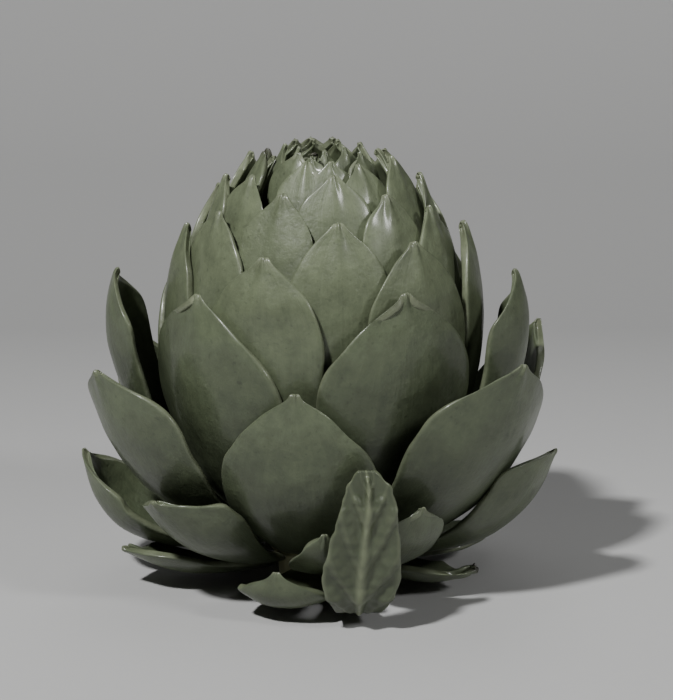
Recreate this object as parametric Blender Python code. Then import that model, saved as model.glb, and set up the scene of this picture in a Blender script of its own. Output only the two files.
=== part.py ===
"""A globe artichoke: heart on a cut stem, choke, rows of overlapping bracts, bud and one stem leaf.

Metres, +Z up. The origin is the centre of the flat cut foot of the stem, and -Y is the front.
"""
import math

import bmesh
import bpy
from mathutils import Matrix, Vector

MM = 0.001
ACROSS = 4          # faces across a bract
ALONG = 8           # faces along a bract
RING = 24           # faces around the heart, the choke and the bud
MIDRIB_STEPS = 200  # samples used to measure a midrib's length
SHOULDER_POWER = 1.9
POINT_POWER = 0.75
NUB_HALF_WIDTH = 1.1
CROWDING = 1.5      # how much closer the rows of faces lie towards the tip

# Each whorl of bracts, from the stem upwards. Lengths in mm, angles in degrees:
# base = radius and height where a bract leaves the heart, lean = its lean from upright at base and tip,
# handle = curve handles as a share of the chord, curl = radius across, point = length of the tapering
# tip, foot = width at the base as a share of the widest, thick = thickness at the midrib and the edge.
WHORLS = {
    "foot": dict(base=(13.0, 4.2), lean=(95, 50), handle=(0.4, 0.4), curl=24, point=18, foot=0.45,
                 thick=(2.2, 1.3)),
    "low": dict(base=(16.0, 7.8), lean=(84, 25), handle=(0.4, 0.4), curl=26, point=24, foot=0.40,
                thick=(2.3, 1.4)),
    "wide": dict(base=(19.0, 11.6), lean=(70, 6), handle=(0.4, 0.4), curl=36, point=32, foot=0.40,
                 thick=(2.4, 1.4)),
    "open": dict(base=(21.0, 15.6), lean=(72, -38), handle=(0.3, 0.3), curl=18, point=18, foot=0.35,
                 thick=(2.2, 1.3)),
    "belt": dict(base=(23.0, 20.0), lean=(60, -19), handle=(0.22, 0.4), curl=42, point=31, foot=0.40,
                 thick=(2.1, 1.2)),
    "mid": dict(base=(25.0, 25.0), lean=(45, -24), handle=(0.38, 0.29), curl=37, point=25, foot=0.42,
                thick=(2.1, 1.1)),
    "upper": dict(base=(26.0, 29.0), lean=(33, -25), handle=(0.44, 0.30), curl=33, point=21, foot=0.42,
                  thick=(2.0, 1.1)),
    "high": dict(base=(26.0, 32.5), lean=(23, -27), handle=(0.52, 0.32), curl=30, point=16, foot=0.50,
                 thick=(1.9, 1.1)),
    "top": dict(base=(25.0, 35.5), lean=(18, -32), handle=(0.43, 0.35), curl=27, point=13, foot=0.50,
                thick=(1.8, 1.0)),
    "crown": dict(base=(22.5, 38.0), lean=(17, -41), handle=(0.14, 0.42), curl=24, point=10, foot=0.50,
                  thick=(1.7, 1.0)),
}

# The bracts of each whorl: turn from the front towards +X in degrees, tip radius, tip height and
# half width in mm, then what this bract does differently from its whorl.
BRACTS = {
    "foot": [
        (-15, 47.0, 17.0, 14.0, dict(lean=(98, -10), handle=(0.45, 0.5), point=14)),
        (67, 47.0, 8.6, 12.8, dict(curl=20, roll=-13)),
        (116, 56.0, 10.0, 12.0, {}),
        (-142, 56.0, 10.0, 12.0, {}),
        (-80, 57.0, 12.2, 13.0, dict(curl=18, roll=10, point=13)),
    ],
    "low": [
        (1, 48.0, 28.5, 10.0, dict(lean=(80, 5), point=17, foot=0.20)),
        (32, 52.0, 35.0, 10.2, dict(lean=(84, 5), point=9, foot=0.18, roll=-4)),
        (78, 66.6, 42.6, 19.0, dict(lean=(86, 14), handle=(0.5, 0.4), curl=23, point=12, foot=0.20, roll=-14)),
        (128, 64.0, 38.0, 16.0, {}),
        (-152, 64.0, 36.0, 16.0, {}),
        (-97, 68.3, 36.0, 20.0, dict(lean=(93, 5), handle=(0.54, 0.47), curl=18, point=17, foot=0.34)),
        (-51, 59.0, 34.4, 19.5, dict(roll=13, curl=19, point=13, foot=0.20)),
    ],
    "wide": [
        (-8, 50.0, 68.2, 24.5, dict(lean=(66, -10), curl=38, point=34, foot=0.25)),
        (55, 66.5, 73.4, 26.5, dict(roll=-13, point=26)),
        (112, 67.0, 70.0, 21.0, {}),
        (172, 66.0, 68.0, 21.0, {}),
        (-122, 66.0, 66.0, 21.0, {}),
        (-70, 65.6, 67.6, 24.0, dict(roll=15, point=20, foot=0.25)),
    ],
    "open": [
        (82, 53.3, 92.2, 19.5, {}),
        (141, 57.0, 84.0, 18.0, {}),
        (-150, 57.0, 82.0, 18.0, {}),
        (-93, 56.6, 90.2, 19.5, {}),
    ],
    "belt": [
        (30, 44.5, 93.4, 26.0, {}),
        (128, 44.5, 92.0, 20.5, {}),
        (-178, 44.5, 92.0, 21.5, {}),
        (-122, 44.5, 92.0, 21.0, {}),
        (-48, 44.5, 90.8, 28.0, {}),
    ],
    "mid": [
        (-23, 38.5, 102.3, 18.5, {}),
        (41, 37.4, 104.9, 19.0, dict(foot=0.34)),
        (87, 38.4, 104.6, 16.0, dict(lean=(50, -33), handle=(0.3, 0.33), curl=28)),
        (150, 38.0, 103.0, 18.0, {}),
        (-150, 38.0, 103.0, 18.0, {}),
        (-83, 36.6, 104.6, 17.5, dict(lean=(50, -33), handle=(0.3, 0.33), curl=28, foot=0.30)),
    ],
    "upper": [
        (8, 32.0, 110.8, 14.8, {}),
        (66, 31.5, 111.4, 14.0, dict(foot=0.24)),
        (122, 32.0, 111.5, 15.5, {}),
        (178, 32.0, 111.5, 15.5, {}),
        (-118, 32.0, 111.5, 15.5, {}),
        (-58, 32.0, 111.0, 16.0, {}),
    ],
    "high": [
        (-23, 26.2, 117.2, 11.6, {}),
        (40, 26.5, 116.0, 12.0, {}),
        (88, 26.5, 118.2, 11.0, dict(curl=22)),
        (152, 26.0, 118.0, 12.0, {}),
        (-148, 26.0, 118.0, 12.0, {}),
        (-85, 25.8, 118.0, 11.5, dict(curl=24)),
    ],
    "top": [
        (9, 20.5, 121.5, 11.0, {}),
        (66, 20.3, 124.0, 10.0, {}),
        (126, 21.0, 122.0, 10.5, {}),
        (-174, 21.0, 122.0, 10.5, {}),
        (-114, 21.0, 122.0, 10.5, {}),
        (-54, 22.6, 120.0, 10.5, {}),
    ],
    "crown": [
        (-14, 15.6, 124.2, 8.2, {}),
        (38, 15.6, 122.8, 8.0, {}),
        (98, 15.0, 124.0, 8.5, {}),
        (-169, 15.6, 124.4, 9.2, {}),
        (-80, 14.8, 124.2, 8.5, {}),
    ],
}

# Turned profiles as (radius, height) in mm, from the axis outwards and back to the axis.
HEART = [
    (0, 0), (12.2, 0), (12.4, 4.5), (12.6, 6.9), (15.0, 10.2), (17.4, 14.0), (19.4, 17.9),
    (21.0, 22.0), (22.6, 27.0), (23.2, 31.0), (23.0, 34.0), (22.0, 36.6), (19.4, 39.4),
    (16.5, 40.6), (9.0, 38.4), (0, 37.5),
]
CHOKE = [
    (0, 37.9), (9.0, 38.8), (16.0, 41.2), (17.2, 46.0), (16.4, 54.0), (13.5, 63.0), (8.0, 71.0),
    (0, 74.5),
]
BUD = [
    (0, 111.0), (10.5, 108.0), (17.5, 98.0), (22.0, 82.0), (21.8, 62.0), (19.2, 46.0), (19.0, 41.5),
    (20.6, 41.5), (22.8, 50.0), (24.8, 60.0), (26.2, 70.0), (26.8, 80.0), (26.2, 90.0), (22.8, 103.0),
    (19.9, 111.0), (16.0, 118.0), (12.8, 121.8), (9.5, 124.8), (6.0, 126.2), (0, 125.2),
]

# The stem leaf: points of its midrib and its half width there, in mm.
LEAF = [
    ((5.0, -13.0, 1.8), 3.0), ((8.4, -30.0, 1.8), 4.5), ((10.2, -43.0, 4.0), 6.4),
    ((10.4, -49.0, 10.0), 9.6), ((10.9, -51.5, 18.0), 10.8), ((11.8, -53.0, 27.5), 9.4),
    ((12.8, -54.0, 37.0), 7.9), ((12.8, -54.3, 43.5), 6.0), ((12.0, -54.5, 48.0), 2.2),
]
LEAF_THICK = 1.8
LEAF_CURL = 0.035   # rise of the edges, per mm of half width squared

FLESH = ((0.62, 0.66, 0.47), 0.55)
FIBRE = ((0.70, 0.66, 0.50), 0.80)
SKIN = ((0.27, 0.31, 0.21), 0.36)
LEAF_SKIN = ((0.24, 0.29, 0.19), 0.42)


def clear_scene():
    for obj in list(bpy.data.objects):
        bpy.data.objects.remove(obj, do_unlink=True)


def make_material(name, finish):
    colour, roughness = finish
    material = bpy.data.materials.new(name)
    material.use_nodes = True
    shader = material.node_tree.nodes["Principled BSDF"]
    shader.inputs["Base Color"].default_value = (*colour, 1.0)
    shader.inputs["Roughness"].default_value = roughness
    shader.inputs["Metallic"].default_value = 0.0
    return material


def finish_object(name, bm, finish):
    bmesh.ops.recalc_face_normals(bm, faces=bm.faces)
    mesh = bpy.data.meshes.new(name)
    bm.to_mesh(mesh)
    bm.free()
    obj = bpy.data.objects.new(name, mesh)
    bpy.context.collection.objects.link(obj)
    mesh.materials.append(make_material(name, finish))
    return obj


def direction(lean):
    """Unit vector in the (radius, height) plane, leaning out from upright by this many degrees."""
    return Vector((math.sin(math.radians(lean)), math.cos(math.radians(lean))))


def make_midrib(base, tip, lean, handle):
    """Return a function giving point, direction and the whole length at a share of the length."""
    start = Vector(base)
    end = Vector(tip)
    chord = (end - start).length
    first = start + direction(lean[0]) * chord * handle[0]
    last = end - direction(lean[1]) * chord * handle[1]

    def point(t):
        s = 1 - t
        return start * s**3 + first * 3 * s * s * t + last * 3 * s * t * t + end * t**3

    def slope(t):
        s = 1 - t
        return ((first - start) * s * s + (last - first) * 2 * s * t + (end - last) * t * t).normalized()

    lengths = [0.0]
    for step in range(MIDRIB_STEPS):
        piece = point((step + 1) / MIDRIB_STEPS) - point(step / MIDRIB_STEPS)
        lengths.append(lengths[-1] + piece.length)

    def at(share):
        wanted = share * lengths[-1]
        step = 1
        while step < MIDRIB_STEPS and lengths[step] < wanted:
            step += 1
        rest = (wanted - lengths[step - 1]) / (lengths[step] - lengths[step - 1])
        t = min(max((step - 1 + rest) / MIDRIB_STEPS, 0.0), 1.0)
        return point(t), slope(t)

    return at, lengths[-1]


def half_width(share, length, widest, point, foot):
    """Half width of a bract in mm at a share of its length: narrow foot, full shoulders, small tip."""
    left = length * (1 - share)
    if left > point:
        swell = math.cos(math.pi / 2 * (left - point) / (length - point))
        return widest * (foot + (1 - foot) * swell)
    shape = (1 - (1 - left / point)**SHOULDER_POWER)**POINT_POWER
    nub = NUB_HALF_WIDTH * math.sqrt(min(left / 1.2, 1.0))
    return max(widest * shape, nub)


def bract_grid(turn, tip, widest, spec):
    """Lay a grid over the outer skin of one bract, rolled about its chord and turned to its place."""
    midrib, length = make_midrib(spec["base"], tip, spec["lean"], spec["handle"])
    curl = spec["curl"]
    bm = bmesh.new()
    bmesh.ops.create_grid(bm, x_segments=ACROSS, y_segments=ALONG, size=1.0)
    weights = bm.verts.layers.deform.verify()
    thick, thin = spec["thick"]
    for vert in bm.verts:
        across = vert.co.x
        share = 1 - (1 - (vert.co.y + 1) / 2)**CROWDING
        centre, along = midrib(share)
        arc = across * half_width(share, length, widest, spec["point"], spec["foot"]) / curl
        drop = curl * (1 - math.cos(arc))
        outward = Vector((along.y, -along.x))
        place = centre - outward * drop
        vert.co = Vector((curl * math.sin(arc), -place.x, place.y)) * MM
        vert[weights][0] = thin / thick + (1 - thin / thick) * (1 - across * across)
    roll = spec.get("roll", 0)
    if roll:
        start = Vector((0.0, -spec["base"][0], spec["base"][1])) * MM
        chord = Vector((0.0, -tip[0], tip[1])) * MM - start
        turning = Matrix.Rotation(math.radians(roll), 3, chord.normalized())
        bmesh.ops.rotate(bm, verts=bm.verts, cent=start, matrix=turning)
    bmesh.ops.rotate(bm, verts=bm.verts, cent=(0, 0, 0), matrix=Matrix.Rotation(math.radians(turn), 3, "Z"))
    return bm


def add_shell(name, bm, finish, thickness):
    """Turn an open skin into a leaf with a real thickness, growing away from its outer face."""
    mesh = bpy.data.meshes.new(name)
    bm.to_mesh(mesh)
    bm.free()
    obj = bpy.data.objects.new(name, mesh)
    bpy.context.collection.objects.link(obj)
    obj.vertex_groups.new(name="thickness")
    mesh.materials.append(make_material(name, finish))
    shell = obj.modifiers.new("shell", "SOLIDIFY")
    shell.thickness = thickness * MM
    shell.offset = -1.0
    shell.vertex_group = "thickness"
    shell.use_quality_normals = True
    return obj


def add_bract(name, whorl, turn, radius, height, widest, changes):
    spec = dict(WHORLS[whorl])
    spec.update(changes)
    bm = bract_grid(turn, (radius, height), widest, spec)
    return add_shell(name, bm, SKIN, spec["thick"][0])


def add_turned(name, profile, finish):
    """Spin a profile that starts and ends on the axis."""
    bm = bmesh.new()
    verts = [bm.verts.new((radius * MM, 0.0, height * MM)) for radius, height in profile]
    edges = [bm.edges.new(pair) for pair in zip(verts, verts[1:])]
    bmesh.ops.spin(bm, geom=verts + edges, cent=(0, 0, 0), axis=(0, 0, 1), dvec=(0, 0, 0),
                   angle=math.tau, steps=RING, use_merge=True)
    bmesh.ops.remove_doubles(bm, verts=bm.verts, dist=0.00005)
    return finish_object(name, bm, finish)


def leaf_place(share):
    """Centre and half width of the stem leaf at a share of its points, in mm."""
    spot = share * (len(LEAF) - 1)
    step = min(int(spot), len(LEAF) - 2)
    rest = spot - step
    (first, wide), (second, narrow) = LEAF[step], LEAF[step + 1]
    return Vector(first).lerp(Vector(second), rest), wide + (narrow - wide) * rest


def add_stem_leaf():
    """A small leaf from the foot of the stem that rises in front of the lowest bracts."""
    bm = bmesh.new()
    bmesh.ops.create_grid(bm, x_segments=ACROSS, y_segments=2 * (len(LEAF) - 1), size=1.0)
    weights = bm.verts.layers.deform.verify()
    for vert in bm.verts:
        share = (vert.co.y + 1) / 2
        centre, wide = leaf_place(share)
        before, _ = leaf_place(max(share - 0.02, 0.0))
        after, _ = leaf_place(min(share + 0.02, 1.0))
        along = (after - before).normalized()
        sideways = Vector((1.0, 0.0, 0.0))
        outward = sideways.cross(along).normalized()
        across = vert.co.x * wide
        vert.co = (centre + sideways * across - outward * across * across * LEAF_CURL) * MM
        vert[weights][0] = 1.0
    return add_shell("stem_leaf", bm, LEAF_SKIN, LEAF_THICK)


def build():
    clear_scene()
    add_turned("heart", HEART, FLESH)
    add_turned("choke", CHOKE, FIBRE)
    add_turned("innermost_bud", BUD, SKIN)
    add_stem_leaf()
    for whorl, bracts in BRACTS.items():
        for number, bract in enumerate(bracts, start=1):
            add_bract(f"bract_{whorl}_{number}", whorl, *bract)


build()
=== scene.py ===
import math

import bmesh
import bpy
from mathutils import Matrix, Vector


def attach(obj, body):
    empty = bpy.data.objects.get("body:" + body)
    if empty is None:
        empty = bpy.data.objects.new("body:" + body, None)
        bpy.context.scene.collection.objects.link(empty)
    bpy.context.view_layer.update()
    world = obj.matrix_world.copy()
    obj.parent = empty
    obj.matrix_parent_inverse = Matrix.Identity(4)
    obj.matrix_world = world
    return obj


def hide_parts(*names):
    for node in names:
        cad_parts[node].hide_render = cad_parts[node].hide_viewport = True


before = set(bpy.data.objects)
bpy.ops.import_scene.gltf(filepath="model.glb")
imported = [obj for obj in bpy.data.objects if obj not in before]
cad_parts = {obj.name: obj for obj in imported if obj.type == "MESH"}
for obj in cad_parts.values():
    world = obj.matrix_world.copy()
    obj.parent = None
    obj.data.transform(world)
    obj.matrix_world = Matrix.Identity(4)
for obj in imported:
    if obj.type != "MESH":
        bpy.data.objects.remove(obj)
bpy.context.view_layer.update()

MM = 0.001

# ---------------------------------------------------------------------------------------------
# The artichoke's own measures: lengths in mm, angles in degrees. The midribs and half widths are
# those of the solids. The walls keep their thickness to the edge, where the solids thin, and from
# the belt up the whorls are up to a fifth flatter across.
# base = radius and height where a bract leaves the heart, lean = its lean from upright at base and
# tip, handle = curve handles as a share of the chord, curl = radius across, point = length of the
# tapering tip, foot = width at the base as a share of the widest, thick = thickness of the wall,
# keel = height and length of the soft ridge that runs down from the tip.
# ---------------------------------------------------------------------------------------------
WHORLS = {
    "foot": dict(base=(13.0, 4.2), lean=(95, 50), handle=(0.4, 0.4), curl=24, point=18, foot=0.45,
                 thick=2.2, keel=(0.5, 8)),
    "low": dict(base=(16.0, 7.8), lean=(84, 25), handle=(0.4, 0.4), curl=26, point=24, foot=0.40,
                thick=2.2, keel=(0.5, 10)),
    "wide": dict(base=(19.0, 11.6), lean=(70, 6), handle=(0.4, 0.4), curl=36, point=32, foot=0.40,
                 thick=2.2, keel=(1.0, 18)),
    "open": dict(base=(21.0, 15.6), lean=(72, -38), handle=(0.3, 0.3), curl=18, point=18, foot=0.35,
                 thick=2.0, keel=(0.5, 12)),
    "belt": dict(base=(23.0, 20.0), lean=(60, -19), handle=(0.22, 0.4), curl=45, point=31, foot=0.40,
                 thick=2.4, keel=(1.1, 20)),
    "mid": dict(base=(25.0, 25.0), lean=(45, -24), handle=(0.38, 0.29), curl=44, point=25, foot=0.42,
                thick=2.3, keel=(1.2, 20)),
    "upper": dict(base=(26.0, 29.0), lean=(33, -25), handle=(0.44, 0.30), curl=40, point=21, foot=0.42,
                  thick=2.2, keel=(1.2, 20)),
    "high": dict(base=(26.0, 32.5), lean=(23, -27), handle=(0.52, 0.32), curl=36, point=16, foot=0.50,
                 thick=2.0, keel=(1.1, 18)),
    "top": dict(base=(25.0, 35.5), lean=(18, -32), handle=(0.43, 0.35), curl=32, point=13, foot=0.50,
                thick=1.9, keel=(1.0, 16)),
    "crown": dict(base=(22.5, 38.0), lean=(17, -41), handle=(0.14, 0.42), curl=28, point=10, foot=0.50,
                  thick=1.8, keel=(0.9, 14)),
}

# The bracts of each whorl: turn from the front towards +X, tip radius, tip height, half width, and
# what this bract does differently from its whorl.
BRACTS = {
    "foot": [
        (-15, 47.0, 17.0, 14.0, dict(lean=(98, -10), handle=(0.45, 0.5), point=14)),
        (67, 47.0, 8.6, 12.8, dict(curl=20, roll=-13)),
        (116, 56.0, 10.0, 12.0, {}),
        (-142, 56.0, 10.0, 12.0, {}),
        (-80, 57.0, 12.2, 13.0, dict(curl=18, roll=10, point=13)),
    ],
    "low": [
        (1, 48.0, 28.5, 10.0, dict(lean=(80, 5), point=17, foot=0.20)),
        (32, 52.0, 35.0, 10.2, dict(lean=(84, 5), point=9, foot=0.18, roll=-4)),
        (78, 66.6, 42.6, 19.0, dict(lean=(86, 14), handle=(0.5, 0.4), curl=23, point=12, foot=0.20,
                                    roll=-14)),
        (128, 64.0, 38.0, 16.0, {}),
        (-152, 64.0, 36.0, 16.0, {}),
        (-97, 68.3, 36.0, 20.0, dict(lean=(93, 5), handle=(0.54, 0.47), curl=18, point=17, foot=0.34)),
        (-51, 59.0, 34.4, 19.5, dict(roll=13, curl=19, point=13, foot=0.20)),
    ],
    "wide": [
        (-8, 50.0, 68.2, 24.5, dict(lean=(66, -10), curl=38, point=34, foot=0.25)),
        (55, 66.5, 73.4, 26.5, dict(roll=-13, point=26)),
        (112, 67.0, 70.0, 21.0, {}),
        (172, 66.0, 68.0, 21.0, {}),
        (-122, 66.0, 66.0, 21.0, {}),
        (-70, 65.6, 67.6, 24.0, dict(roll=15, point=20, foot=0.25)),
    ],
    "open": [
        (82, 53.3, 92.2, 19.5, {}),
        (141, 57.0, 84.0, 18.0, {}),
        (-150, 57.0, 82.0, 18.0, {}),
        (-93, 56.6, 90.2, 19.5, {}),
    ],
    "belt": [
        (30, 44.5, 93.4, 26.0, {}),
        (128, 44.5, 92.0, 20.5, {}),
        (-178, 44.5, 92.0, 21.5, {}),
        (-122, 44.5, 92.0, 21.0, {}),
        (-48, 44.5, 90.8, 28.0, {}),
    ],
    "mid": [
        (-23, 38.5, 102.3, 18.5, {}),
        (41, 37.4, 104.9, 19.0, dict(foot=0.34)),
        (87, 38.4, 104.6, 16.0, dict(lean=(50, -33), handle=(0.3, 0.33), curl=28)),
        (150, 38.0, 103.0, 18.0, {}),
        (-150, 38.0, 103.0, 18.0, {}),
        (-83, 36.6, 104.6, 17.5, dict(lean=(50, -33), handle=(0.3, 0.33), curl=28, foot=0.30)),
    ],
    "upper": [
        (8, 32.0, 110.8, 14.8, {}),
        (66, 31.5, 111.4, 14.0, dict(foot=0.24)),
        (122, 32.0, 111.5, 15.5, {}),
        (178, 32.0, 111.5, 15.5, {}),
        (-118, 32.0, 111.5, 15.5, {}),
        (-58, 32.0, 111.0, 16.0, {}),
    ],
    "high": [
        (-23, 26.2, 117.2, 11.6, {}),
        (40, 26.5, 116.0, 12.0, {}),
        (88, 26.5, 118.2, 11.0, dict(curl=22)),
        (152, 26.0, 118.0, 12.0, {}),
        (-148, 26.0, 118.0, 12.0, {}),
        (-85, 25.8, 118.0, 11.5, dict(curl=24)),
    ],
    "top": [
        (9, 20.5, 121.5, 11.0, {}),
        (66, 20.3, 124.0, 10.0, {}),
        (126, 21.0, 122.0, 10.5, {}),
        (-174, 21.0, 122.0, 10.5, {}),
        (-114, 21.0, 122.0, 10.5, {}),
        (-54, 22.6, 120.0, 10.5, {}),
    ],
    "crown": [
        (-14, 15.6, 124.2, 8.2, {}),
        (38, 15.6, 122.8, 8.0, {}),
        (98, 15.0, 124.0, 8.5, {}),
        (-169, 15.6, 124.4, 9.2, {}),
        (-80, 14.8, 124.2, 8.5, {}),
    ],
}

# The young leaves that close the top, all of the node innermost_bud.
BUD_LEAF = dict(base=(20.0, 86.0), lean=(-6, -38), handle=(0.35, 0.35), curl=15, point=9, foot=0.8,
                thick=1.5, keel=(0.7, 9))
BUD_LEAVES = [
    (-31, 11.5, 125.6, 9.5, {}),
    (12, 12.0, 123.4, 9.0, {}),
    (60, 11.5, 124.6, 9.0, {}),
    (118, 11.5, 124.8, 9.5, {}),
    (165, 11.0, 125.2, 9.0, {}),
    (-142, 11.5, 125.0, 9.5, {}),
    (-92, 9.5, 125.6, 9.0, {}),
    (-22, 6.0, 123.8, 7.5, dict(base=(14.0, 98.0), lean=(-10, -40))),
    (50, 7.5, 126.0, 7.5, dict(base=(14.0, 98.0), lean=(-10, -36))),
    (140, 6.5, 125.8, 7.5, dict(base=(14.0, 98.0), lean=(-10, -36))),
    (-150, 4.5, 126.2, 7.5, dict(base=(14.0, 98.0), lean=(-10, -36))),
    (-75, 6.0, 125.2, 7.5, dict(base=(14.0, 98.0), lean=(-10, -36))),
    (20, 2.0, 124.2, 5.5, dict(base=(8.0, 100.0), lean=(0, -36))),
]

# The stem leaf: points of its midrib and its half width there, in mm.
STEM_LEAF = [
    ((5.0, -13.0, 1.8), 3.0), ((8.4, -30.0, 1.8), 4.5), ((10.2, -43.0, 4.0), 6.4),
    ((10.4, -49.0, 10.0), 9.6), ((10.9, -51.5, 18.0), 10.8), ((11.8, -53.0, 27.5), 9.4),
    ((12.8, -54.0, 37.0), 7.9), ((12.8, -54.3, 43.5), 6.0), ((12.0, -54.5, 48.0), 2.2),
]
LEAF_ACROSS = 12        # faces across the stem leaf
LEAF_ALONG = 48         # faces along it
VEIN_STEP = 8           # a side vein leaves the midrib at every eighth row
VEIN_ROWS = 3           # rows that one side vein takes up
VEIN_LIFT = 1.30
MIDRIB_LIFT = 2.6
LOBE = 1.02             # how far the edge stands out at a vein, and draws in between two
NOTCH = 0.96
LEAF_SLOPE = 0.04       # share of the leaf over which its slope is taken
LEAF_THICK = 1.5
LEAF_WOBBLE = 0.2

# The closed egg shape that fills the bud: half width, half height and height of its middle, in mm.
BUD_CORE = (26.0, 39.0, 79.0)

# Turned profiles as (radius, height) in mm, from the foot upwards.
HEART_PROFILE = [
    (11.6, 0), (12.2, 0.5), (12.4, 4.5), (12.6, 6.9), (15.0, 10.2), (17.4, 14.0), (19.4, 17.9),
    (21.0, 22.0), (22.6, 27.0), (23.2, 31.0), (23.0, 34.0), (22.0, 36.6), (19.4, 39.4),
    (16.5, 40.6), (9.0, 38.4), (3.0, 37.6),
]
CHOKE_PROFILE = [
    (3.0, 38.0), (9.0, 38.8), (16.0, 41.2), (17.2, 46.0), (16.4, 54.0), (13.5, 63.0), (8.0, 71.0),
    (3.0, 73.8),
]

ACROSS = 8              # faces across a bract
ALONG = 16              # faces along a bract
RIM_SHARE = 0.93        # where the last row of faces before the rim starts
CROWDING = 1.7          # how much closer the rows lie towards the tip
SHOULDER_POWER = 1.9
POINT_POWER = 0.75
NUB_HALF_WIDTH = 1.90   # the small blunt nub at the end of a bract, smaller on narrow ones
NUB_WIDTH_SHARE = 0.115
NUB_LEAST = 0.2
NUB_LENGTH = 1.5
NUB_BLUNT = 0.12        # the outline is cut off this far before it closes
NUB_LIFTS = (0.15, 0.60, 0.45, 0.10)     # the nub is a bump: how far its rows stand out, from its end
RIM_ROUND = 0.35        # the rims turn in
RIM_WOBBLE = 0.55       # unevenness of the rims
SMOOTH_END = 3.0        # the rims stay even this close to the end
TORN = ("skin_crown_5", "skin_foot_2", "bud_leaf_8")
TEAR = 0.7              # how far the points of a torn end are thrown about
TEAR_REACH = 5.0        # length of the dried end of a torn bract
SWELL = 0.8             # gentle hills and hollows of the skin
SWELL_SIZE = 14.0
MIDRIB_STEPS = 200
BENCH = -300.0          # height at which a bract is cut out before it is laid in its place
ROW_REACH = 0.06        # rows lie further apart than this on the bench
SAME_PLACE = 0.01       # points closer than this lie in one row or column
SAME_MIDDLE = 0.05      # the middle column, once bent
SAME_LEAF_ROW = 0.45    # of the way to the next row of the stem leaf
SMOOTHING = 2
TURNED_SIDES = 64
INNER_WHORLS = ("upper", "high", "top", "crown")


# ---------------------------------------------------------------------------------------------
# Modelling by hand. A piece is shaped in mm and brought to metres when it is finished.
# ---------------------------------------------------------------------------------------------
def start_fresh():
    bpy.ops.object.select_all(action="DESELECT")


def pick(test):
    """Select the vertices of the mesh in hand whose place passes the test."""
    mesh = bpy.context.object.data
    bm = bmesh.from_edit_mesh(mesh)
    for vert in bm.verts:
        vert.select = test(vert.co)
    bm.select_flush_mode()
    bmesh.update_edit_mesh(mesh, loop_triangles=False, destructive=False)


def spare(test):
    """Deselect the vertices of the mesh in hand whose place passes the test."""
    mesh = bpy.context.object.data
    bm = bmesh.from_edit_mesh(mesh)
    for vert in bm.verts:
        if test(vert.co):
            vert.select = False
    bm.select_flush_mode()
    bmesh.update_edit_mesh(mesh, loop_triangles=False, destructive=False)


def edit(obj):
    bpy.context.view_layer.objects.active = obj
    bpy.ops.object.mode_set(mode="EDIT")
    bpy.ops.mesh.select_mode(type="VERT")


def leave():
    bpy.ops.object.mode_set(mode="OBJECT")


def apply_modifiers(obj):
    for modifier in list(obj.modifiers):
        bpy.ops.object.modifier_apply(modifier=modifier.name)


def settle(obj, place=None):
    """Bring a piece from mm to metres, turned and moved by a matrix, with its object at the origin."""
    obj.matrix_world = Matrix.Scale(MM, 4) @ (place or Matrix())
    bpy.ops.object.transform_apply(location=True, rotation=True, scale=True)
    bpy.ops.object.shade_smooth()


def finish_piece(obj, node, material):
    obj.data.materials.clear()
    obj.data.materials.append(material)
    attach(obj, "root")
    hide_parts(node)


def direction(lean):
    return Vector((math.sin(math.radians(lean)), math.cos(math.radians(lean))))


def make_midrib(spec, tip):
    """Return a function giving point and slope at a share of the length, and the whole length."""
    start = Vector(spec["base"])
    end = Vector(tip)
    chord = (end - start).length
    first = start + direction(spec["lean"][0]) * chord * spec["handle"][0]
    last = end - direction(spec["lean"][1]) * chord * spec["handle"][1]

    def point(t):
        s = 1 - t
        return start * s**3 + first * 3 * s * s * t + last * 3 * s * t * t + end * t**3

    def slope(t):
        s = 1 - t
        return ((first - start) * s * s + (last - first) * 2 * s * t + (end - last) * t * t).normalized()

    lengths = [0.0]
    for step in range(MIDRIB_STEPS):
        piece = point((step + 1) / MIDRIB_STEPS) - point(step / MIDRIB_STEPS)
        lengths.append(lengths[-1] + piece.length)

    def at(share):
        wanted = share * lengths[-1]
        step = 1
        while step < MIDRIB_STEPS and lengths[step] < wanted:
            step += 1
        rest = (wanted - lengths[step - 1]) / (lengths[step] - lengths[step - 1])
        t = min(max((step - 1 + rest) / MIDRIB_STEPS, 0.0), 1.0)
        return point(t), slope(t)

    return at, lengths[-1]


def nub_size(widest):
    return min(NUB_HALF_WIDTH, NUB_WIDTH_SHARE * widest + NUB_LEAST)


def half_width(left, length, widest, spec):
    """Half width in mm at this distance from the tip: narrow foot, full shoulders, small tip."""
    point = spec["point"]
    if left > point:
        swell = math.cos(math.pi / 2 * (left - point) / (length - point))
        return widest * (spec["foot"] + (1 - spec["foot"]) * swell)
    behind = max(left - NUB_LENGTH, 0.0) / (point - NUB_LENGTH)
    shape = (1 - (1 - behind)**SHOULDER_POWER)**POINT_POWER
    nub = nub_size(widest) * math.sqrt(min(left + NUB_BLUNT, 1.0))
    return max(widest * shape, nub)


def cut_outline(rows, length, widest, spec):
    """Edit mode: widen each row of the grid to the bract's outline, with a narrow row of rim faces."""
    inner = 1 - 2 / ACROSS
    pick(lambda co: abs(abs(co.x) - inner) < SAME_PLACE)
    bpy.ops.transform.resize(value=(RIM_SHARE / inner, 1, 1), center_override=(0, 0, 0))
    broadest = 0.0
    for row, left in rows:
        wide = half_width(left, length, widest, spec)
        broadest = max(broadest, wide)
        pick(lambda co, row=row: abs(co.z - row) < SAME_PLACE)
        bpy.ops.transform.resize(value=(wide, 1, 1), center_override=(0, 0, row))
    return broadest


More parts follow.
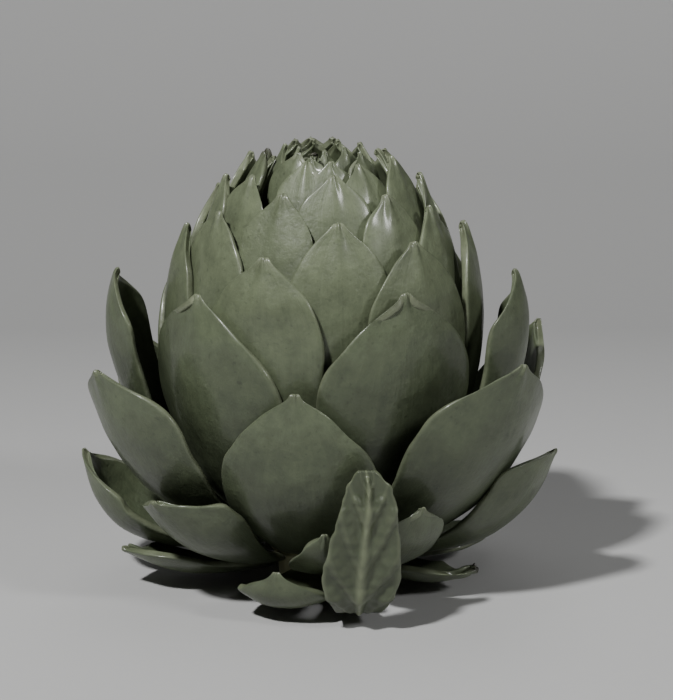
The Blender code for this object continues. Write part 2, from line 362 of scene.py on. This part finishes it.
def raise_keel(rows, spec, widest):
    """Edit mode: lift the middle of the tip into a soft ridge and raise the blunt nub."""
    height, reach = spec["keel"]
    share = nub_size(widest) / NUB_HALF_WIDTH
    for row, left in rows:
        if left < reach:
            lift = height * math.sqrt(1 - left / reach)
            pick(lambda co, row=row: abs(co.z - row) < SAME_PLACE and abs(co.x) < SAME_MIDDLE)
            bpy.ops.transform.translate(value=(0, -lift, 0))
    for (row, left), lift in zip(reversed(rows), NUB_LIFTS):
        pick(lambda co, row=row: abs(co.z - row) < SAME_PLACE)
        bpy.ops.transform.translate(value=(0, -lift * share, 0))


def pick_rims():
    bpy.ops.mesh.select_all(action="SELECT")
    bpy.ops.mesh.region_to_loop()


def round_rims():
    """Edit mode: press the rims in, so that the edges look fleshy."""
    pick_rims()
    bpy.ops.transform.translate(value=(0, RIM_ROUND, 0))
    bpy.ops.mesh.select_mode(type="VERT")


def tear_tip(end, seed):
    """Edit mode: a dried tip, torn and bent out of line."""
    pick(lambda co: (co - end).length < TEAR_REACH)
    bpy.ops.transform.vertex_random(offset=TEAR, uniform=1.0, normal=0.0, seed=seed)


def roughen_rims(seed, offset, end):
    """Edit mode: make the rims uneven, all but the nub at the end."""
    pick_rims()
    bpy.ops.mesh.select_mode(type="VERT")
    spare(lambda co: (co - end).length < SMOOTH_END)
    bpy.ops.transform.vertex_random(offset=offset, uniform=1.0, normal=0.0, seed=seed)


def lay_along(rows, length, midrib):
    """Edit mode: turn and move each row onto the midrib, which leans out towards the front."""
    for row, left in reversed(rows):
        place, slope = midrib(1 - left / length)
        pick(lambda co, row=row: abs(co.z - row) < ROW_REACH)
        bpy.ops.transform.rotate(value=-math.atan2(slope.x, slope.y), orient_axis="X",
                                 center_override=(0, 0, row))
        bpy.ops.transform.translate(value=(0, -place.x, place.y - row))


def add_bench_grid(name, across, along):
    """A grid 2 mm each way that stands below the ground, its face to the front."""
    start_fresh()
    bpy.ops.mesh.primitive_grid_add(x_subdivisions=across, y_subdivisions=along, size=2,
                                    location=(0, 0, BENCH), rotation=(math.radians(90), 0, 0))
    obj = bpy.context.object
    obj.name = name
    bpy.ops.object.transform_apply(location=True, rotation=True, scale=False)
    return obj


def roll_about_chord(spec, tip):
    start = Vector((0.0, -spec["base"][0], spec["base"][1]))
    chord = Vector((0.0, -tip[0], tip[1])) - start
    turning = Matrix.Rotation(math.radians(spec.get("roll", 0)), 4, chord.normalized())
    return Matrix.Translation(start) @ turning @ Matrix.Translation(-start)


def add_wall(obj, thickness):
    """Thicken a sheet inwards and smooth it."""
    wall = obj.modifiers.new("wall", "SOLIDIFY")
    wall.thickness = thickness
    wall.offset = -1.0
    wall.use_quality_normals = True
    smooth = obj.modifiers.new("smooth", "SUBSURF")
    smooth.levels = SMOOTHING
    smooth.render_levels = SMOOTHING
    apply_modifiers(obj)


def model_bract(name, spec, turn, tip, widest, seed, swell):
    """One bract: a flat outline, curved across, raised along its keel and laid along its midrib."""
    midrib, length = make_midrib(spec, tip)
    rows = [(BENCH - 1 + 2 * number / ALONG, length * (1 - number / ALONG)**CROWDING)
            for number in range(ALONG + 1)]
    obj = add_bench_grid(name, ACROSS, ALONG)
    edit(obj)
    broadest = cut_outline(rows, length, widest, spec)
    leave()
    bend = obj.modifiers.new("curve across", "SIMPLE_DEFORM")
    bend.deform_method = "BEND"
    bend.deform_axis = "Z"
    bend.angle = 2 * broadest / spec["curl"]
    apply_modifiers(obj)
    edit(obj)
    raise_keel(rows, spec, widest)
    round_rims()
    lay_along(rows, length, midrib)
    end = Vector((0.0, -tip[0], tip[1]))
    roughen_rims(seed, RIM_WOBBLE, end)
    if name in TORN:
        tear_tip(end, seed)
    leave()
    add_wall(obj, spec["thick"])
    settle(obj, Matrix.Rotation(math.radians(turn), 4, "Z") @ roll_about_chord(spec, tip))
    unevenness = obj.modifiers.new("swell", "DISPLACE")
    unevenness.texture = swell
    unevenness.texture_coords = "LOCAL"
    unevenness.strength = SWELL * MM
    unevenness.mid_level = 0.5
    apply_modifiers(obj)
    return obj


def leaf_place(share):
    """Centre and half width of the stem leaf at a share of its points, in mm."""
    spot = share * (len(STEM_LEAF) - 1)
    step = min(int(spot), len(STEM_LEAF) - 2)
    rest = spot - step
    (first, wide), (second, narrow) = STEM_LEAF[step], STEM_LEAF[step + 1]
    return Vector(first).lerp(Vector(second), rest), wide + (narrow - wide) * rest


def leaf_spot(co):
    """Which column, counted from the midrib, and which row of the bench grid this is."""
    return round(abs(co.x) * LEAF_ACROSS / 2), round((co.z - BENCH + 1) * LEAF_ALONG / 2)


def on_side_vein(co):
    column, row = leaf_spot(co)
    inside = 0 < column < LEAF_ACROSS // 2 and LEAF_ALONG // 4 < row < LEAF_ALONG - VEIN_STEP
    return inside and (row - 2 * column) % VEIN_STEP < VEIN_ROWS


def on_edge(co, between):
    column, row = leaf_spot(co)
    return column == LEAF_ACROSS // 2 and ((row - 2 * column) % VEIN_STEP == VEIN_STEP // 2) == between


def emboss_leaf():
    """Edit mode: raise the midrib and the side veins, and cut the edge into small lobes."""
    pick(on_side_vein)
    bpy.ops.transform.translate(value=(0, -VEIN_LIFT, 0))
    pick(lambda co: leaf_spot(co)[0] == 0 and LEAF_ALONG // 4 < leaf_spot(co)[1] < LEAF_ALONG - 2)
    bpy.ops.transform.translate(value=(0, -MIDRIB_LIFT, 0))
    pick(lambda co: on_edge(co, False))
    bpy.ops.transform.resize(value=(LOBE, 1, 1), center_override=(0, 0, 0))
    pick(lambda co: on_edge(co, True))
    bpy.ops.transform.resize(value=(NOTCH, 1, 1), center_override=(0, 0, 0))


def lay_leaf():
    """Edit mode: widen, turn and move each row of the stem leaf onto its midrib."""
    for number in range(LEAF_ALONG, -1, -1):
        row = BENCH - 1 + 2 * number / LEAF_ALONG
        share = number / LEAF_ALONG
        centre, wide = leaf_place(share)
        slope = leaf_place(min(share + LEAF_SLOPE, 1.0))[0] - leaf_place(max(share - LEAF_SLOPE, 0.0))[0]
        pick(lambda co, row=row: abs(co.z - row) < SAME_LEAF_ROW / LEAF_ALONG)
        bpy.ops.transform.resize(value=(wide, 1, 1), center_override=(0, 0, row))
        bpy.ops.transform.rotate(value=-math.atan2(-slope.y, slope.z), orient_axis="X",
                                 center_override=(0, 0, row))
        bpy.ops.transform.translate(value=(centre.x, centre.y, centre.z - row))


def add_stem_leaf():
    """The small veined leaf, modelled flat, then stood up along its midrib and given a wall."""
    obj = add_bench_grid("stem_leaf_skin", LEAF_ACROSS, LEAF_ALONG)
    edit(obj)
    emboss_leaf()
    lay_leaf()
    roughen_rims(7, LEAF_WOBBLE, Vector(STEM_LEAF[-1][0]))
    leave()
    add_wall(obj, LEAF_THICK)
    settle(obj)
    return obj


def add_turned(name, profile):
    """A round solid: a disc drawn up ring by ring along its profile."""
    start_fresh()
    bpy.ops.mesh.primitive_circle_add(vertices=TURNED_SIDES, radius=profile[0][0], fill_type="TRIFAN",
                                      location=(0, 0, profile[0][1]))
    obj = bpy.context.object
    obj.name = name
    bpy.ops.object.transform_apply(location=True, rotation=False, scale=False)
    edit(obj)
    radius, height = profile[0]
    pick(lambda co: co.xy.length > radius - 0.01)
    for wider, higher in profile[1:]:
        bpy.ops.mesh.extrude_region_move(TRANSFORM_OT_translate={"value": (0, 0, higher - height)})
        bpy.ops.transform.resize(value=(wider / radius, wider / radius, 1), center_override=(0, 0, 0))
        radius, height = wider, higher
    bpy.ops.mesh.edge_face_add()
    bpy.ops.mesh.select_all(action="SELECT")
    bpy.ops.mesh.normals_make_consistent(inside=False)
    leave()
    settle(obj)
    return obj


def make_swell():
    """Soft hills and hollows about a centimetre wide, shared by all bracts."""
    swell = bpy.data.textures.new("swell", "CLOUDS")
    swell.noise_scale = SWELL_SIZE * MM
    swell.noise_depth = 1
    return swell


def whorl_finish(whorl):
    """The slot and the skin of a whorl."""
    if whorl in INNER_WHORLS:
        return "inner_bract_skin", INNER_SKIN
    # The middle whorl takes a lighter copy of the outer skin as painted light.
    return "outer_bract_skin", MIDDLE_LIT_SKIN if whorl == "mid" else OUTER_SKIN


def add_bracts(swell):
    seed = 0
    for whorl, bracts in BRACTS.items():
        slot, material = whorl_finish(whorl)
        for number, (turn, radius, height, widest, changes) in enumerate(bracts, start=1):
            spec = dict(WHORLS[whorl])
            spec.update(changes)
            seed += 1
            obj = model_bract(f"skin_{whorl}_{number}", spec, turn, (radius, height), widest, seed, swell)
            skin = TORN_SKIN if obj.name in TORN else material
            finish_piece(obj, f"bract_{whorl}_{number}", skin)


def add_bud_leaves(swell):
    for number, (turn, radius, height, widest, changes) in enumerate(BUD_LEAVES, start=1):
        spec = dict(BUD_LEAF)
        spec.update(changes)
        obj = model_bract(f"bud_leaf_{number}", spec, turn, (radius, height), widest, 100 + number, swell)
        skin = TORN_SKIN if obj.name in TORN else INNER_SKIN
        finish_piece(obj, "innermost_bud", skin)


def add_bud_core():
    """The closed egg shape that the young leaves stand in. It takes up most of the choke's place."""
    start_fresh()
    bpy.ops.mesh.primitive_uv_sphere_add(segments=48, ring_count=24, radius=1, location=(0, 0, 0))
    obj = bpy.context.object
    obj.name = "bud_core"
    edit(obj)
    bpy.ops.mesh.select_all(action="SELECT")
    wide, high, middle = BUD_CORE
    bpy.ops.transform.resize(value=(wide, wide, high), center_override=(0, 0, 0))
    bpy.ops.transform.translate(value=(0, 0, middle))
    leave()
    settle(obj)
    return obj


# ---------------------------------------------------------------------------------------------
# Finishes
# ---------------------------------------------------------------------------------------------
class Value:
    """A shader socket that takes part in sums and products."""

    def __init__(self, tree, socket):
        self.tree = tree
        self.socket = socket

    def _join(self, operation, first, second):
        node = self.tree.nodes.new("ShaderNodeMath")
        node.operation = operation
        for place, item in zip(node.inputs, (first, second)):
            if isinstance(item, Value):
                self.tree.links.new(item.socket, place)
            else:
                place.default_value = item
        return Value(self.tree, node.outputs[0])

    def __add__(self, other):
        return self._join("ADD", self, other)

    def __radd__(self, other):
        return self._join("ADD", other, self)

    def __sub__(self, other):
        return self._join("SUBTRACT", self, other)

    def __mul__(self, other):
        return self._join("MULTIPLY", self, other)

    def away_from(self, middle):
        return self._join("ABSOLUTE", self - middle, 0.0)


class Finish:
    """A material with one Principled shader and whatever nodes feed it."""

    def __init__(self, name, **constants):
        self.material = bpy.data.materials.new(name)
        self.material.use_nodes = True
        self.tree = self.material.node_tree
        self.shader = self.tree.nodes["Principled BSDF"]
        for socket, value in constants.items():
            self.shader.inputs[socket.replace("_", " ")].default_value = value

    def node(self, kind, settings=None, output=0, **sockets):
        """Add a node; sockets are given by name, with _ for a space, as values or links."""
        node = self.tree.nodes.new("ShaderNode" + kind)
        for name, value in (settings or {}).items():
            if name == "stops":
                self._set_stops(node.color_ramp, value)
            else:
                setattr(node, name, value)
        for name, value in sockets.items():
            self._feed(node.inputs[self._index(node, name)], value)
        return Value(self.tree, node.outputs[output])

    def _index(self, node, name):
        wanted = name.replace("_", " ")
        for index, socket in enumerate(node.inputs):
            if socket.name == wanted and socket.enabled:
                return index
        raise KeyError(name)

    def _feed(self, socket, value):
        if isinstance(value, Value):
            self.tree.links.new(value.socket, socket)
        else:
            socket.default_value = value

    def _set_stops(self, ramp, stops):
        while len(ramp.elements) < len(stops):
            ramp.elements.new(1.0)
        for element, (position, grey) in zip(ramp.elements, stops):
            element.position = position
            element.color = (grey, grey, grey, 1.0)

    def place(self, output="Object"):
        index = {"UV": 2, "Object": 3}[output]
        return self.node("TexCoord", output=index)

    def stretched(self, scale, output="Object"):
        return self.node("Mapping", Vector=self.place(output), Scale=scale)

    def noise(self, vector, scale, detail=2.0, roughness=0.5):
        return self.node("TexNoise", Vector=vector, Scale=scale, Detail=detail, Roughness=roughness)

    def ramp(self, value, *stops):
        return self.node("ValToRGB", {"stops": stops}, Fac=value)

    def blend(self, share, first, second, how="MIX"):
        return self.node("Mix", {"data_type": "RGBA", "blend_type": how}, output=2,
                         Factor=share, A=first, B=second)

    def split_uv(self):
        uv = self.place("UV")
        return (self.node("SeparateXYZ", output=0, Vector=uv), self.node("SeparateXYZ", output=1, Vector=uv))

    def bump(self, height, distance, strength=1.0, normal=None):
        sockets = dict(Height=height, Distance=distance, Strength=strength)
        if normal is not None:
            sockets["Normal"] = normal
        return self.node("Bump", **sockets)

    def feed(self, **sockets):
        for name, value in sockets.items():
            self._feed(self.shader.inputs[name.replace("_", " ")], value)


def rgb(red, green, blue):
    return (red, green, blue, 1.0)


def make_skin(name, foot_shade, body, tip, tip_share=0.5):
    """Glossy bract skin: painted shade at the foot, painted highlight on nub and rims, clouded, streaked and
    specked.
    """
    finish = Finish(name, Coat_Weight=0.40, Coat_Roughness=0.18, IOR=1.45)
    across, along = finish.split_uv()
    # Painted shade: dark at the foot of each bract, where the bracts in front cover it, fading out towards
    # the middle.
    foot_shade_fade = finish.ramp(along, (0.20, 0.0), (0.72, 1.0))
    # Painted highlight masks: the last stretch of the bract up to the nub, and a thin band along the rims.
    tip_highlight_and_dry_end = finish.ramp(along, (0.84, 0.0), (0.99, 1.0))
    rim_highlight_and_dry_rim = finish.ramp(across.away_from(0.5), (0.43, 0.0), (0.495, 1.0))
    clouds = finish.noise(finish.place(), 85.0, detail=5.0, roughness=0.6)
    mottle = finish.noise(finish.place(), 330.0, detail=4.0, roughness=0.65)
    fibres = finish.noise(finish.stretched((38.0, 1.4, 1.0), "UV"), 1.0, detail=4.0, roughness=0.6)
    specks = finish.ramp(finish.noise(finish.place(), 620.0, detail=1.0), (0.67, 0.0), (0.74, 1.0))
    # The foot of each bract takes the deep colour as painted shade.
    colour = finish.blend(foot_shade_fade, foot_shade, body)
    # Painted highlight: nub and rims blend to the tip colour, which for the torn skin is its real dried
    # brown.
    colour = finish.blend(tip_highlight_and_dry_end * tip_share + rim_highlight_and_dry_rim * 0.42, colour, tip)
    shade = -0.04 + clouds * 1.05 + mottle * 0.68 + fibres * 0.30 - specks * 0.20
    colour = finish.blend(1.0, colour, finish.node("CombineColor", Red=shade, Green=shade, Blue=shade),
                          how="MULTIPLY")
    grain = finish.noise(finish.place(), 900.0, detail=3.0, roughness=0.65)
    finish.feed(Base_Color=colour, Roughness=0.36 + clouds * 0.18 + grain * 0.08)
    normal = finish.bump(clouds, 0.0022, 0.35)
    normal = finish.bump(fibres, 0.0004, 0.30, normal)
    normal = finish.bump(mottle, 0.0004, 0.35, normal)
    finish.feed(Normal=finish.bump(grain, 0.00012, 0.35, normal))
    return finish.material


def make_leaf_skin():
    """The stem leaf: darker between the veins, lighter on the midrib and the side veins, and a painted
    highlight along the edge.
    """
    finish = Finish("leaf_skin", Coat_Weight=0.35, Coat_Roughness=0.2, IOR=1.45)
    across, along = finish.split_uv()
    out = across.away_from(0.5)
    mottle = finish.noise(finish.place(), 160.0, detail=4.0, roughness=0.6)
    grain = finish.noise(finish.place(), 900.0, detail=3.0)
    wave = finish.node("Math", {"operation": "SINE"},
                       Value=(along - out * 0.5) * (math.tau * LEAF_ALONG / VEIN_STEP) + math.pi / 2)
    veins = finish.ramp(wave, (0.45, 0.0), (1.0, 1.0))
    midrib = finish.ramp(out, (0.02, 1.0), (0.085, 0.0))
    # Painted highlight: a thin lighter band along the leaf's edge.
    rim = finish.ramp(out, (0.44, 0.0), (0.49, 1.0))
    light = mottle * 0.75 + veins * 0.20 + midrib * 0.75 + rim * 0.45 - 0.26
    finish.feed(Base_Color=finish.blend(light, LEAF_DEEP, LEAF_LIGHT), Roughness=0.38 + mottle * 0.2)
    normal = finish.bump(veins, 0.0004, 0.4)
    normal = finish.bump(mottle, 0.0008, 0.45, normal)
    finish.feed(Normal=finish.bump(grain, 0.00015, 0.4, normal))
    return finish.material


def make_flesh():
    """Pale flesh of the heart, with the browned ring and fibres of the cut foot."""
    finish = Finish("heart_flesh", IOR=1.45)
    fibres = finish.noise(finish.stretched((1.0, 1.0, 0.15)), 900.0, detail=2.0)
    blotch = finish.noise(finish.place(), 160.0, detail=3.0)
    colour = finish.blend(finish.ramp(blotch, (0.35, 0.0), (0.70, 1.0)), rgb(0.30, 0.31, 0.17),
                          rgb(0.42, 0.43, 0.26))
    colour = finish.blend(fibres * 0.45, colour, rgb(0.20, 0.17, 0.08))
    finish.feed(Base_Color=colour, Roughness=0.5 + blotch * 0.25)
    finish.feed(Normal=finish.bump(fibres, 0.0003, 0.5))
    return finish.material


def make_choke_fibre():
    finish = Finish("choke_fibre", IOR=1.4)
    hairs = finish.noise(finish.stretched((1.0, 1.0, 0.06)), 1600.0, detail=2.0)
    colour = finish.blend(hairs, rgb(0.36, 0.31, 0.18), rgb(0.62, 0.57, 0.38))
    finish.feed(Base_Color=colour, Roughness=0.7 + hairs * 0.2)
    finish.feed(Normal=finish.bump(hairs, 0.0006, 0.7))
    return finish.material


def make_floor_paper():
    finish = Finish("floor_paper", IOR=1.3)
    grain = finish.noise(finish.place(), 240.0, detail=3.0)
    depth = finish.node("SeparateXYZ", output=1, Vector=finish.place())
    # Painted light and shade on the floor, set against the lamps' falloff: darkest a little behind the
    # artichoke, lighter in front of it and lighter still far back.
    painted_light_and_shade = finish.ramp(depth * 0.5, (0.02, 0.75), (0.14, 0.51), (0.28, 0.61), (0.60, 1.0))
    shade = painted_light_and_shade * FLOOR_GREY - 0.006 + grain * 0.012
    finish.feed(Base_Color=finish.node("CombineColor", Red=shade, Green=shade, Blue=shade * 0.99))
    finish.feed(Roughness=0.75 + grain * 0.1)
    return finish.material


# The deep colour below is painted shade at the foot of each outer bract.
OUTER_FOOT_SHADE = rgb(0.046, 0.058, 0.031)
OUTER_BODY = rgb(0.090, 0.110, 0.062)
# The tip colour below is a painted highlight on the nubs and rims of the outer bracts.
OUTER_TIP_HIGHLIGHT = rgb(0.190, 0.208, 0.135)
# The middle body colour below is a lighter copy of the outer one: painted light on the middle whorl.
MIDDLE_LIT_BODY = rgb(0.118, 0.141, 0.081)
# The deep colour below is painted shade at the foot of each inner bract.
INNER_FOOT_SHADE = rgb(0.068, 0.084, 0.046)
# The inner body colour below is lighter partly as the inner bracts' own paler colour, partly as painted
# light from above.
INNER_PALE_LIT_BODY = rgb(0.128, 0.152, 0.089)
# The tip colour below is a painted highlight on the nubs and rims of the inner bracts.
INNER_TIP_HIGHLIGHT = rgb(0.215, 0.235, 0.155)
TORN_BROWN = rgb(0.018, 0.013, 0.008)
LEAF_DEEP = rgb(0.048, 0.060, 0.033)
LEAF_LIGHT = rgb(0.150, 0.172, 0.104)
FLOOR_GREY = 0.60

OUTER_SKIN = make_skin("outer_bract_skin", OUTER_FOOT_SHADE, OUTER_BODY, OUTER_TIP_HIGHLIGHT)
MIDDLE_LIT_SKIN = make_skin("middle_lit_bract_skin", OUTER_FOOT_SHADE, MIDDLE_LIT_BODY, OUTER_TIP_HIGHLIGHT)
INNER_SKIN = make_skin("inner_bract_skin", INNER_FOOT_SHADE, INNER_PALE_LIT_BODY, INNER_TIP_HIGHLIGHT)
# The torn skin has a real dried brown at its end and rims in place of the painted highlight, and keeps the
# painted shade at the foot.
TORN_SKIN = make_skin("torn_bract_skin", INNER_FOOT_SHADE, INNER_PALE_LIT_BODY, TORN_BROWN, 0.95)


# ---------------------------------------------------------------------------------------------
# Stage, lights and camera
# ---------------------------------------------------------------------------------------------
def add_floor():
    start_fresh()
    bpy.ops.mesh.primitive_plane_add(size=6.0, location=(0, 0, 0))
    floor = bpy.context.object
    floor.name = "floor"
    floor.data.materials.append(make_floor_paper())


def add_softbox(name, turn, height, distance, size, power):
    """A square soft light, placed by its turn from the front towards +X and its height in degrees."""
    across = math.cos(math.radians(height)) * distance
    spot = Vector((math.sin(math.radians(turn)) * across, -math.cos(math.radians(turn)) * across,
                   math.sin(math.radians(height)) * distance))
    spot += LOOK_AT
    start_fresh()
    bpy.ops.object.light_add(type="AREA", location=spot)
    lamp = bpy.context.object
    lamp.name = name
    lamp.rotation_euler = (LOOK_AT - spot).to_track_quat("-Z", "Y").to_euler()
    lamp.data.size = size
    lamp.data.energy = power


def light_room(grey):
    world = bpy.data.worlds.new("room")
    world.use_nodes = True
    world.node_tree.nodes["Background"].inputs["Color"].default_value = (grey, grey, grey, 1.0)
    bpy.context.scene.world = world


def add_camera():
    """The camera looks down on the middle of the head from the front."""
    height = math.radians(CAMERA_HEIGHT)
    spot = LOOK_AT + Vector((0, -math.cos(height), math.sin(height))) * CAMERA_DISTANCE
    start_fresh()
    bpy.ops.object.camera_add(location=spot)
    camera = bpy.context.object
    camera.rotation_euler = (LOOK_AT - spot).to_track_quat("-Z", "Y").to_euler()
    camera.data.lens = CAMERA_LENS
    camera.data.sensor_width = 36.0
    bpy.context.scene.camera = camera


LOOK_AT = Vector((0.0041, 0.0, 0.0668))
CAMERA_HEIGHT = 15.0
CAMERA_DISTANCE = 0.95
CAMERA_LENS = 174.4

add_camera()
add_floor()
light_room(0.03)
add_softbox("key", -36, 51, 2.2, 0.16, 58.0)
add_softbox("side", 58, 32, 2.2, 0.30, 16.0)
add_softbox("overhead", 180, 68, 2.2, 1.2, 6.0)
add_softbox("back", 172, 30, 2.2, 0.80, 2.5)

SWELL_TEXTURE = make_swell()
add_bracts(SWELL_TEXTURE)
add_bud_leaves(SWELL_TEXTURE)
finish_piece(add_bud_core(), "innermost_bud", INNER_SKIN)

finish_piece(add_stem_leaf(), "stem_leaf", make_leaf_skin())
finish_piece(add_turned("heart_flesh", HEART_PROFILE), "heart", make_flesh())
finish_piece(add_turned("choke_fibres", CHOKE_PROFILE), "choke", make_choke_fibre())
